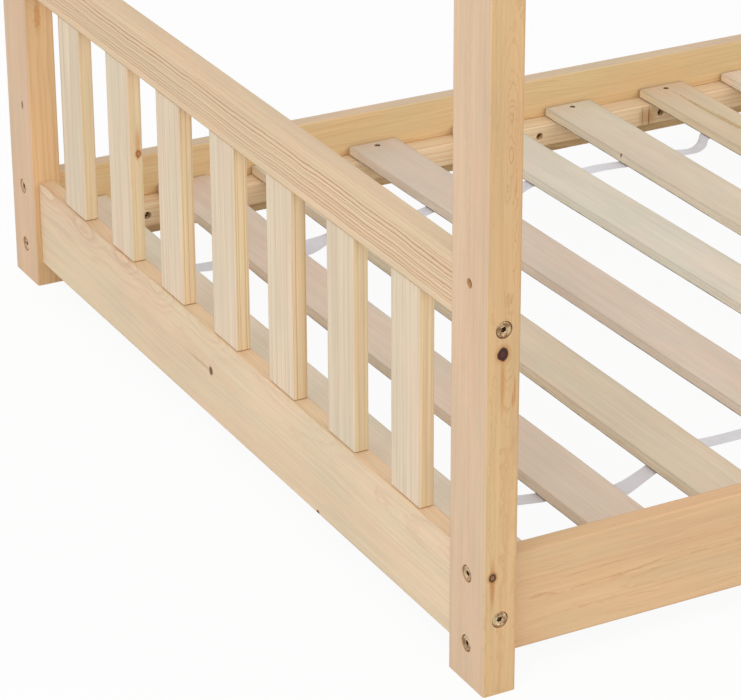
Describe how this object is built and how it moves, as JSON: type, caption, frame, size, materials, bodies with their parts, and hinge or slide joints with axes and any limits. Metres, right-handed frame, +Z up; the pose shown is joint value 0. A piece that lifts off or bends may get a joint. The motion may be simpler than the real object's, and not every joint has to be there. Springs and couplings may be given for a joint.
{
  "type": "montessori bed",
  "caption": "Low child's bed in pine with tall corner posts, balustered ends, a slatted base near the floor and an open ridge roof frame.",
  "frame": {"origin": "on the floor, under the middle of the bed", "axes": "+X along the bed from the head end to the foot end, -Y its front, +Z up"},
  "size_m": [2.066, 0.98, 1.42],
  "materials": {
    "post_pine": "bare planed pine, straight grain, rounded edges",
    "guard_pine": "bare planed pine with bold brown growth rings",
    "baluster_pine": "bare planed pine, pale",
    "rail_pine": "bare planed pine, warm, wavy grain",
    "slat_pine": "bare sawn pine, greyish, rougher edges",
    "roof_pine": "bare planed pine, straight grain",
    "beech": "fluted beech dowel, bare",
    "webbing": "flat woven webbing, light grey",
    "bolt_brass": "yellow zinc plating over steel",
    "zinc_steel": "bright zinc plating"
  },
  "bodies": {
    "root": {"post_head_front": "post_pine", "post_head_back": "post_pine", "post_foot_front": "post_pine", "post_foot_back": "post_pine", "end_rail_head": "post_pine", "end_rail_foot": "post_pine", "guard_rail_head": "guard_pine", "guard_rail_foot": "guard_pine", "baluster_head_1": "baluster_pine", "baluster_head_2": "baluster_pine", "baluster_head_3": "baluster_pine", "baluster_head_4": "baluster_pine", "baluster_head_5": "baluster_pine", "baluster_head_6": "baluster_pine", "baluster_head_7": "baluster_pine", "baluster_foot_1": "baluster_pine", "baluster_foot_2": "baluster_pine", "baluster_foot_3": "baluster_pine", "baluster_foot_4": "baluster_pine", "baluster_foot_5": "baluster_pine", "baluster_foot_6": "baluster_pine", "baluster_foot_7": "baluster_pine", "long_rail_front": "rail_pine", "long_rail_back": "rail_pine", "cleat_front": "post_pine", "cleat_back": "post_pine", "slat_1": "slat_pine", "slat_2": "slat_pine", "slat_3": "slat_pine", "slat_4": "slat_pine", "slat_5": "slat_pine", "slat_6": "slat_pine", "slat_7": "slat_pine", "slat_8": "slat_pine", "slat_9": "slat_pine", "slat_10": "slat_pine", "slat_11": "slat_pine", "slat_12": "slat_pine", "slat_13": "slat_pine", "slat_14": "slat_pine", "slat_15": "slat_pine", "slat_16": "slat_pine", "slat_17": "slat_pine", "slat_18": "slat_pine", "strap_front": "webbing", "strap_back": "webbing", "rafter_head_front": "roof_pine", "rafter_head_back": "roof_pine", "rafter_foot_front": "roof_pine", "rafter_foot_back": "roof_pine", "eave_beam_front": "roof_pine", "eave_beam_back": "roof_pine", "ridge_beam": "roof_pine", "connector_bolts": "bolt_brass", "barrel_nuts": "zinc_steel", "dowels": "beech", "cleat_screws": "zinc_steel", "slat_screws": "zinc_steel", "strap_staples": "zinc_steel"}
  },
  "joints": []
}
